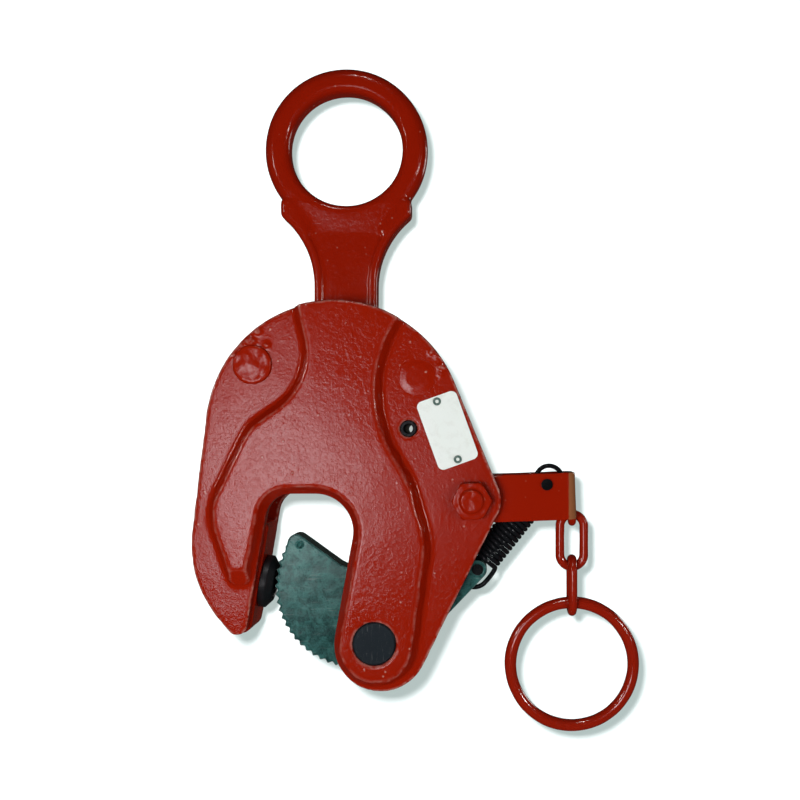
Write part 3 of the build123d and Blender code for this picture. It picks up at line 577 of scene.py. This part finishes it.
class CLAMP_OT_side_plates(bpy.types.Operator):
    """Side plates: flat flanges with a raised band whose sloped edge wanders a little"""

    bl_idname = "clamp.side_plates"
    bl_label = "Side Plates"

    def execute(self, context):
        surface = context.scene.clamp_surface
        pin, half = middle("shackle_pin"), extent("shackle_pin") / 2
        for node, name in (
            ("front_side_plate", "painted_front_plate"), ("rear_side_plate", "painted_rear_plate"),
        ):
            piece = solid_copy(node, name)
            if node == "front_side_plate":
                add_lumps(piece)
            melt(piece, surface.plate_grain, 6)
            slope = weigh(piece, "slope", lambda vertex: 1 - min(1.0, abs(abs(vertex.normal.y) - 0.5) / 0.42))
            ripple(piece, 8 * MM, surface.band_wobble, slope)
            ripple(piece, 18 * MM, 0.5 * surface.face_wave)
            ripple(piece, 60 * MM, surface.face_wave)
            guide = weigh(piece, "guide", lambda vertex: beside_pin(vertex, pin, half))
            work(piece, "DISPLACE", strength=-surface.guide_room, mid_level=0.0, vertex_group=guide)
            finish_piece(piece, paint_for(context, "plate_red", crests=0.6), "frame", "red_paint", node)
        return {"FINISHED"}


def beside_pin(vertex, pin, half):
    """One on the walls and floor of a guide slot, wherever the shackle's pin comes on its travel."""
    drop = min(max(pin.z - vertex.co.z, 0.0), lift_travel)
    aside = math.hypot(vertex.co.x - pin.x, vertex.co.z - pin.z + drop)
    return float(aside < half.x + 1.5 * MM and abs(vertex.co.y) < half.y + MM)


def add_lumps(piece):
    """Join weld spatter and lumps of paint to the front plate."""
    bpy.ops.object.select_all(action="DESELECT")
    lumps = []
    for x, z, radius in SPATTER:
        bpy.ops.mesh.primitive_uv_sphere_add(
            segments=16, ring_count=8, radius=radius * MM, location=(x * MM, -flange_face, z * MM),
            scale=(1.0, 0.55, 0.85))
        lumps.append(bpy.context.object)
    focus(piece)
    for lump in lumps:
        lump.select_set(True)
    bpy.ops.object.join()


class CLAMP_OT_spacer_studs(bpy.types.Operator):
    """Spacer studs: their ends hammered over into lumpy heads"""

    bl_idname = "clamp.spacer_studs"
    bl_label = "Spacer Studs"

    def execute(self, context):
        surface = context.scene.clamp_surface
        for node, name, proud, rounds in (
            ("left_spacer_stud", "painted_left_stud", 0.8, 14),
            ("right_spacer_stud", "painted_right_stud", 0.15, 60),
        ):
            piece = solid_copy(node, name)
            press_heads(piece, flange_face, proud)
            melt(piece, surface.small_grain, rounds)
            reach = extent(node).y / 2
            head = weigh(
                piece, "head", lambda vertex: min(1.0, max(0.0, abs(vertex.co.y) / reach - 0.86) / 0.06))
            ripple(piece, 4 * MM, 0.3 * proud * surface.stud_lumps, head)
            ripple(piece, 8 * MM, proud * surface.stud_lumps, head)
            finish_piece(piece, paint_for(context, "smooth_red", **SMOOTH_COAT), "frame", "red_paint",
                         node)
        return {"FINISHED"}


def press_heads(piece, face, share):
    """Flatten what stands out of the plates on both sides to a share of its height."""
    focus(piece)
    bpy.ops.object.mode_set(mode="EDIT")
    for way in (1, -1):
        bpy.ops.mesh.select_all(action="DESELECT")
        bpy.ops.object.mode_set(mode="OBJECT")
        for vertex in piece.data.vertices:
            vertex.select = way * vertex.co.y > face + 0.01 * MM
        bpy.ops.object.mode_set(mode="EDIT")
        bpy.ops.transform.resize(value=(1.0, share, 1.0), center_override=(0.0, way * face, 0.0))
    bpy.ops.object.mode_set(mode="OBJECT")


class CLAMP_OT_fixed_jaw(bpy.types.Operator):
    """Fixed jaw: painted block, black toothed pad and its ring"""

    bl_idname = "clamp.fixed_jaw"
    bl_label = "Fixed Jaw"

    def execute(self, context):
        surface, steel = context.scene.clamp_surface, context.scene.clamp_steel
        block = solid_copy("jaw_block", "painted_jaw_block")
        melt(block, 1.5 * surface.small_grain, 4)
        ripple(block, 9 * MM, 0.5 * surface.face_wave)
        finish_piece(block, paint_for(context, "smooth_red", **SMOOTH_COAT), "frame", "red_paint",
                     "jaw_block")
        black = dark_steel("black_pad", steel.black, steel.bright, roughness=0.4, rub=0.03, metallic=0.0)
        soften_node("jaw_pad", black, 0.3 * MM)
        dress_node("jaw_circlip", black)
        return {"FINISHED"}


class CLAMP_OT_cam(bpy.types.Operator):
    """Toothed cam with its pins"""

    bl_idname = "clamp.cam"
    bl_label = "Cam and Pins"

    def execute(self, context):
        surface, steel = context.scene.clamp_surface, context.scene.clamp_steel
        piece = solid_copy("cam", "worn_cam")
        melt(piece, surface.cam_grain, 2)
        ripple(piece, 7 * MM, 0.3 * surface.face_wave)
        finish_piece(piece, cam_steel(steel), "cam", "worn_steel", "cam")
        soften_node("cam_pin", dark_steel(
            "blued_pin", steel.blued, steel.bright, roughness=0.42, rub=0.08, scratched=0.12), 0.5 * MM)
        soften_node("tail_pin", dark_steel(
            "black_pin", steel.black, steel.bright, roughness=0.2, rub=0.03), 1.2 * MM)
        soften_node("link_pin", oiled_steel(steel), 0.4 * MM)
        return {"FINISHED"}


class CLAMP_OT_links(bpy.types.Operator):
    """Links and shackle pin inside the plates"""

    bl_idname = "clamp.links"
    bl_label = "Links"

    def execute(self, context):
        steel = bpy.data.materials.get("oiled_steel") or oiled_steel(context.scene.clamp_steel)
        for node in ("front_link", "rear_link", "shackle_pin", "lever_bush"):
            soften_node(node, steel, 0.4 * MM)
        return {"FINISHED"}


class CLAMP_OT_lever(bpy.types.Operator):
    """Lever strap and its cross pin"""

    bl_idname = "clamp.lever"
    bl_label = "Lever"

    def execute(self, context):
        surface = context.scene.clamp_surface
        strap = solid_copy("lever", "painted_lever")
        melt(strap, 1.3 * surface.small_grain, 3)
        ripple(strap, 25 * MM, surface.face_wave)
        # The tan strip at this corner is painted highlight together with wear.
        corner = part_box("lever")[1].x - surface.strap_corner, extent("lever").y / 2 - surface.strap_corner
        finish_piece(strap, paint_for(context, "lever_red", peel=0.4, nibs=0.2, worn_from=corner), "lever",
                     "red_paint", "lever")
        soften_node("spring_pin", bpy.data.materials["black_pin"], 1.1 * MM)
        return {"FINISHED"}


class CLAMP_OT_lever_bolt(bpy.types.Operator):
    """Lever bolt and nut, painted over"""

    bl_idname = "clamp.lever_bolt"
    bl_label = "Lever Bolt"

    def execute(self, context):
        surface = context.scene.clamp_surface
        nut = solid_copy("lever_nut", "painted_nut")
        piece = solid_copy("lever_bolt", "painted_bolt")
        nut.select_set(True)
        bpy.ops.object.join()
        turn_nut(piece, surface)
        melt(piece, 0.8 * surface.small_grain, 10)
        ripple(piece, 4 * MM, surface.face_wave)
        finish_piece(piece, paint_for(context, "smooth_red", **SMOOTH_COAT), "frame", "red_paint",
                     "lever_bolt", "lever_nut")
        return {"FINISHED"}


def turn_nut(piece, surface):
    """Turn the nut and the bolt's end on their own axis."""
    axis = middle("lever_nut")
    focus(piece)
    bpy.ops.object.mode_set(mode="EDIT")
    bpy.ops.mesh.select_all(action="DESELECT")
    bpy.ops.object.mode_set(mode="OBJECT")
    for vertex in piece.data.vertices:
        vertex.select = vertex.co.y < 0.01 * MM - flange_face
    bpy.ops.object.mode_set(mode="EDIT")
    bpy.ops.transform.rotate(value=surface.nut_turn, orient_axis="Y", center_override=axis)
    bpy.ops.object.mode_set(mode="OBJECT")


class CLAMP_OT_dowel(bpy.types.Operator):
    """Hollow dowel through both plates"""

    bl_idname = "clamp.dowel"
    bl_label = "Dowel"

    def execute(self, context):
        soften_node("dowel_pin", bpy.data.materials["black_pin"], 0.4 * MM)
        return {"FINISHED"}


class CLAMP_OT_spring(bpy.types.Operator):
    """Return spring: one wire with a loop at each end and a close coil between"""

    bl_idname = "clamp.spring"
    bl_label = "Return Spring"

    def execute(self, context):
        sizes, steel = context.scene.clamp_spring, context.scene.clamp_steel
        curve = bpy.data.curves.new("spring_wire", "CURVE")
        curve.dimensions = "3D"
        curve.bevel_depth = sizes.wire / 2
        curve.bevel_resolution = 5
        curve.use_fill_caps = True
        line = spring_line(sizes)
        spline = curve.splines.new("POLY")
        spline.points.add(len(line) - 1)
        for point, place in zip(spline.points, line):
            point.co = (*place, 1.0)
        piece = bpy.data.objects.new("spring_wire", curve)
        context.scene.collection.objects.link(piece)
        focus(piece)
        bpy.ops.object.convert(target="MESH")
        black = dark_steel(
            "spring_black", steel.black, steel.bright, roughness=0.14, rub=0.0, metallic=0.0, gloss=0.3)
        finish_piece(piece, black, "spring", "black_steel", "return_spring")
        return {"FINISHED"}


def spring_line(sizes):
    """Places along the middle of the spring's wire, from its upper loop to its lower one."""
    pin, tail = joint_places["spring_swing"], middle("tail_pin")
    along = (tail - pin).normalized()
    across = Vector((-along.z, 0.0, along.x))
    depth = Vector((0.0, 1.0, 0.0))
    coil_radius = (extent("return_spring").y - sizes.wire) / 2
    upper = pin - along * sizes.upper_play
    lower = tail + along * sizes.lower_play
    start = sizes.upper_loop + sizes.bend
    room = (lower - upper).length - sizes.lower_loop - sizes.bend - start
    lead = math.asin(sizes.bend / coil_radius)
    turns = int(room / sizes.pitch + lead / math.pi)
    sweep = 2 * math.pi * turns - 2 * lead
    half, quarter, steps = math.pi, math.pi / 2, 28

    def round_loop(centre, radius, first, last):
        places = []
        for i in range(steps + 1):
            angle = first + (last - first) * i / steps
            places.append(centre + along * (radius * math.cos(angle)) + across * (radius * math.sin(angle)))
        return places

    def coil():
        places = []
        for i in range(steps * turns + 1):
            part = i / (steps * turns)
            angle = lead + sweep * part
            centre = upper + along * (start + room * part)
            places.append(
                centre + across * (coil_radius * math.cos(angle)) + depth * (coil_radius * math.sin(angle)))
        return places

    top = round_loop(upper, sizes.upper_loop, half + quarter + sizes.opening, quarter)
    body = coil()
    foot = round_loop(lower, sizes.lower_loop, quarter, -quarter - sizes.opening)
    top.insert(0, top[0] + (top[0] - top[1]).normalized() * sizes.wire)
    foot.append(foot[-1] + (foot[-1] - foot[-2]).normalized() * sizes.wire)
    return top + bend_between(top, body) + body + bend_between(body, foot) + foot


def bend_between(before, after):
    """Places on a smooth bend from the end of one run of places to the start of the next."""
    first, last = before[-1], after[0]
    span = (last - first).length
    leave = (before[-1] - before[-2]).normalized() * span * 1.4
    arrive = (after[1] - after[0]).normalized() * span * 1.4
    steps = 14
    places = []
    for i in range(1, steps):
        t = i / steps
        places.append(
            first * (2 * t**3 - 3 * t**2 + 1) + leave * (t**3 - 2 * t**2 + t)
            + last * (3 * t**2 - 2 * t**3) + arrive * (t**3 - t**2))
    return places


class CLAMP_OT_chain(bpy.types.Operator):
    """Two welded chain links and the pull ring"""

    bl_idname = "clamp.chain"
    bl_label = "Chain and Ring"

    def execute(self, context):
        paint = paint_for(context, "chain_red", peel=0.9, nibs=0.4, gloss=0.9)
        paint_coat = context.scene.clamp_surface.chain_coat
        for node, body, turn in (
            ("upper_chain_link", "upper_link", 0.0), ("lower_chain_link", "lower_link", math.pi / 2),
        ):
            size = extent(node)
            wire, width = min(size.x, size.y), max(size.x, size.y)
            link = ring_at(node, f"painted_{node}", width, wire + paint_coat, turn, 72)
            stretch_link(link, middle(node).z, (size.z - width) / 2)
            ripple(link, 6 * MM, 0.3 * MM)
            finish_piece(link, paint, body, "red_paint", node)
        size = extent("pull_ring")
        ring = ring_at("pull_ring", "painted_pull_ring", size.x, size.y + paint_coat, 0.0, 144)
        ripple(ring, 12 * MM, 0.35 * MM)
        finish_piece(ring, paint, "ring", "red_paint", "pull_ring")
        return {"FINISHED"}


def ring_at(node, name, width, wire, turn, segments):
    """A round ring of wire in place of a node, its place in its mesh."""
    bpy.ops.object.select_all(action="DESELECT")
    bpy.ops.mesh.primitive_torus_add(
        location=middle(node), rotation=(math.pi / 2, 0.0, turn), major_segments=segments, minor_segments=24,
        major_radius=(width - wire) / 2, minor_radius=wire / 2)
    piece = bpy.context.object
    piece.name = name
    bpy.ops.object.transform_apply(location=True, rotation=True, scale=True)
    return piece


def stretch_link(piece, middle_z, shift):
    """Pull the halves of a ring apart into a link with straight sides."""
    bpy.ops.object.mode_set(mode="EDIT")
    for way in (1, -1):
        bpy.ops.mesh.select_all(action="DESELECT")
        bpy.ops.object.mode_set(mode="OBJECT")
        for vertex in piece.data.vertices:
            vertex.select = way * (vertex.co.z - middle_z) > 0.01 * MM
        bpy.ops.object.mode_set(mode="EDIT")
        bpy.ops.transform.translate(value=(0.0, 0.0, way * shift))
    bpy.ops.object.mode_set(mode="OBJECT")


class CLAMP_OT_data_plate(bpy.types.Operator):
    """Blank data plate and its two eyelets"""

    bl_idname = "clamp.data_plate"
    bl_label = "Data Plate"

    def execute(self, context):
        steel = context.scene.clamp_steel
        soften_node("data_plate", white_enamel(steel), 0.2 * MM)
        green = dark_steel("eyelet_green", steel.eyelet, steel.bright, roughness=0.45, rub=0.3, metallic=0.3)
        for node, name in (("upper_plate_rivet", "upper_eyelet"), ("lower_plate_rivet", "lower_eyelet")):
            eyelet = solid_copy(node, name)
            hollow_end(eyelet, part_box(node)[0].y, extent(node).x)
            finish_piece(eyelet, green, "frame", "zinc", node, smooth_angle=40)
            eyelet.data.materials.append(bpy.data.materials["white_enamel"])
            for face in eyelet.data.polygons:
                sunk = face.center.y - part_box(node)[0].y
                face.material_index = int(face.normal.y < -0.9 and sunk > 0.3 * MM)
        return {"FINISHED"}


def hollow_end(piece, end, width):
    """Sink the middle of a rivet's front end, and round the rim that is left."""
    for face in piece.data.polygons:
        face.select = abs(face.center.y - end) < 0.02 * MM
    focus(piece)
    bpy.context.tool_settings.mesh_select_mode = (False, False, True)
    bpy.ops.object.mode_set(mode="EDIT")
    bpy.ops.mesh.dissolve_faces()
    bpy.ops.mesh.inset(thickness=0.25 * width)
    bpy.ops.mesh.inset(thickness=0.03 * width)
    bpy.ops.transform.translate(value=(0.0, 0.11 * width, 0.0))
    bpy.ops.object.mode_set(mode="OBJECT")
    work(piece, "BEVEL", width=0.06 * width, segments=3, limit_method="ANGLE", angle_limit=math.radians(35))


class CLAMP_OT_stage(bpy.types.Operator):
    """Floor, sheet, lights and camera"""

    bl_idname = "clamp.stage"
    bl_label = "Stage"

    def execute(self, context):
        scene, stage = context.scene, context.scene.clamp_stage
        scene.view_settings.view_transform = "Standard"
        scene.world = dim_room(stage)
        floor = pale_plane("floor", (0.0, 0.0, cad_box[0].z - stage.floor_drop), (0.0, 0.0, 0.0))
        sheet = pale_plane("sheet", (0.0, cad_box[1].y + stage.sheet_gap, 0.0), (math.pi / 2, 0.0, 0.0))
        floor.data.materials.append(
            pale_paper("pale_floor", stage, 0.0, stage.floor_look, stage.pale, stage.floor_bounce))
        sheet.data.materials.append(pale_paper("pale_sheet", stage, 0.3, 0.5, SHEET_GLOW))
        sheet.visible_shadow = sheet.visible_diffuse = sheet.visible_glossy = False
        floor.visible_glossy = False
        aim = middle("front_side_plate")
        windows = [soft_lamp(
            "rear_window", 0.15 * stage.window, (1.3, 0.9, 0.2), (0.4, 0.5), aim, (1.0, 1.0, 1.0))]
        for i, (x, z, width, height, clear) in enumerate(PANES):
            place = Vector((x, WINDOW_PLACE_Y, z))
            power = stage.window * clear * width * height
            windows.append(soft_lamp(
                f"window_{i}", power, place, (width, height), place + Vector((0.0, 1.0, 0.0)),
                (1.0, 0.95, 1.0)))
        broad = (
            soft_lamp("key", stage.key, (-0.2, -0.85, -0.3), (0.4, 0.4), aim, (1.0, 0.97, 0.93)),
            soft_lamp("fill", stage.fill, (0.7, -0.9, -0.2), (0.5, 0.5), aim, (0.95, 0.98, 1.0)),
            soft_lamp("back_left", stage.back, (-0.25, 1.2, 0.15), (0.6, 0.6), aim, (1.0, 0.98, 0.96)),
            soft_lamp("back_right", stage.back, (0.35, 1.2, -0.3), (0.6, 0.6), aim, (0.96, 0.98, 1.0)),
        )
        glints = tuple(
            soft_lamp(f"glint_{i}", stage.glint, place, (0.12, 0.12), aim, (1.0, 1.0, 1.0))
            for i, place in enumerate(((-0.9, -0.9, 0.15), (0.9, -0.7, 0.0), (0.0, -0.8, 0.9))))
        for lamp in broad:
            lamp.visible_glossy = False
        for lamp in glints:
            lamp.visible_diffuse = False
        shade = soft_lamp("shade", stage.shade, (0.015, -0.54, -0.094), (0.05, 0.05), aim, (1.0, 1.0, 1.0))
        limit_lamps(sheet, (*windows, *broad, *glints), shade)
        camera = bpy.data.objects.new("camera", bpy.data.cameras.new("camera"))
        scene.collection.objects.link(camera)
        camera.location = CAMERA_PLACE
        camera.rotation_euler = (math.pi / 2, 0.0, 0.0)
        camera.data.lens = stage.lens
        camera.data.shift_x, camera.data.shift_y = CAMERA_SHIFT
        scene.camera = camera
        return {"FINISHED"}


def dim_room(stage):
    """A world that is dim to look at in a reflection, and white behind the picture."""
    world = bpy.data.worlds.new("dim_room")
    world.use_nodes = True
    tree = world.node_tree
    rays = tree.nodes.new("ShaderNodeLightPath")
    blend = tree.nodes.new("ShaderNodeMix")
    blend.data_type = "RGBA"
    blend.inputs[6].default_value = (*stage.surround, 1.0)
    blend.inputs[7].default_value = (1.0, 1.0, 1.0, 1.0)
    tree.links.new(rays.outputs["Is Camera Ray"], blend.inputs[0])
    tree.links.new(blend.outputs[2], tree.nodes["Background"].inputs["Color"])
    return world


def pale_plane(name, place, turn):
    """A large flat sheet of the stage."""
    bpy.ops.object.select_all(action="DESELECT")
    bpy.ops.mesh.primitive_plane_add(size=6.0, location=place, rotation=turn)
    plane = bpy.context.object
    plane.name = name
    bpy.ops.object.transform_apply(location=True, rotation=True, scale=True)
    return plane


def pale_paper(name, stage, body, glow, colour, bounce=None):
    """Pale paper that glows by itself, throws its own share of light, and is clear when seen from behind."""
    finish = Finish(name)
    haze = finish.noise(0.8, detail=1.0)
    tone = tuple(channel * body for channel in stage.pale)
    shaded = tuple(0.95 * channel for channel in tone)
    finish.dress(finish.mix(haze * 0.1, tone, shaded), 0.9, specular_ior_level=0.0,
                 emission_color=(*colour, 1.0), emission_strength=glow)
    front = Value(finish, finish.shader.outputs["BSDF"])
    if bounce is not None:
        seen = finish.node("ShaderNodeLightPath", out="Is Camera Ray")
        thrown = finish.node("ShaderNodeEmission", (), {"Color": (*stage.pale, 1.0), "Strength": bounce})
        front = finish.node("ShaderNodeMixShader", (), {0: seen, 1: thrown, 2: front})
    behind = finish.node("ShaderNodeNewGeometry", out="Backfacing")
    clear = finish.node("ShaderNodeBsdfTransparent")
    both = finish.node("ShaderNodeMixShader", (), {
        0: behind, 1: front, 2: clear})
    finish.feed(finish.output.inputs["Surface"], both)
    return finish.material


def soft_lamp(name, power, place, size, aim, colour):
    """A rectangular lamp at a place, turned to an aim."""
    light = bpy.data.lights.new(name, "AREA")
    light.shape = "RECTANGLE"
    light.size, light.size_y = size
    light.energy = power
    light.color = colour
    lamp = bpy.data.objects.new(name, light)
    bpy.context.scene.collection.objects.link(lamp)
    lamp.location = place
    lamp.rotation_euler = (aim - Vector(place)).to_track_quat("-Z", "Y").to_euler()
    return lamp


def limit_lamps(sheet, lamps, shade):
    """Keep the sheet for one lamp, which throws the soft shadow on it, and that lamp for the sheet."""
    others = bpy.data.collections.new("lit_by_lamps")
    alone = bpy.data.collections.new("lit_by_shade")
    for group in (others, alone):
        group.objects.link(sheet)
    others.collection_objects[0].light_linking.link_state = "EXCLUDE"
    for lamp in lamps:
        lamp.light_linking.receiver_collection = others
    shade.light_linking.receiver_collection = alone


class CLAMP_PT_panel(bpy.types.Panel):
    """The clamp's operators in the sidebar"""

    bl_idname = "CLAMP_PT_panel"
    bl_label = "Lifting Clamp"
    bl_space_type = "VIEW_3D"
    bl_region_type = "UI"
    bl_category = "Clamp"

    def draw(self, context):
        for operator in operators:
            self.layout.operator(operator.bl_idname)


settings_groups = {
    "clamp_paint": ClampPaint,
    "clamp_steel": ClampSteel,
    "clamp_surface": ClampSurface,
    "clamp_spring": ClampSpring,
    "clamp_stage": ClampStage,
}
operators = (
    CLAMP_OT_shackle, CLAMP_OT_side_plates, CLAMP_OT_spacer_studs, CLAMP_OT_fixed_jaw, CLAMP_OT_cam,
    CLAMP_OT_links, CLAMP_OT_lever, CLAMP_OT_lever_bolt, CLAMP_OT_dowel, CLAMP_OT_spring, CLAMP_OT_chain,
    CLAMP_OT_data_plate, CLAMP_OT_stage,
)


def register():
    """Register the settings, operators and panel."""
    for name, group in settings_groups.items():
        bpy.utils.register_class(group)
        setattr(bpy.types.Scene, name, PointerProperty(type=group))
    for operator in operators:
        bpy.utils.register_class(operator)
    bpy.utils.register_class(CLAMP_PT_panel)


def unregister():
    """Take everything out again."""
    bpy.utils.unregister_class(CLAMP_PT_panel)
    for operator in reversed(operators):
        bpy.utils.unregister_class(operator)
    for name, group in reversed(settings_groups.items()):
        delattr(bpy.types.Scene, name)
        bpy.utils.unregister_class(group)


def main():
    """Build the whole clamp."""
    register()
    bpy.ops.clamp.shackle()
    bpy.ops.clamp.side_plates()
    bpy.ops.clamp.spacer_studs()
    bpy.ops.clamp.fixed_jaw()
    bpy.ops.clamp.cam()
    bpy.ops.clamp.links()
    bpy.ops.clamp.lever()
    bpy.ops.clamp.lever_bolt()
    bpy.ops.clamp.dowel()
    bpy.ops.clamp.spring()
    bpy.ops.clamp.chain()
    bpy.ops.clamp.data_plate()
    bpy.ops.clamp.stage()


if __name__ == "__main__":
    main()
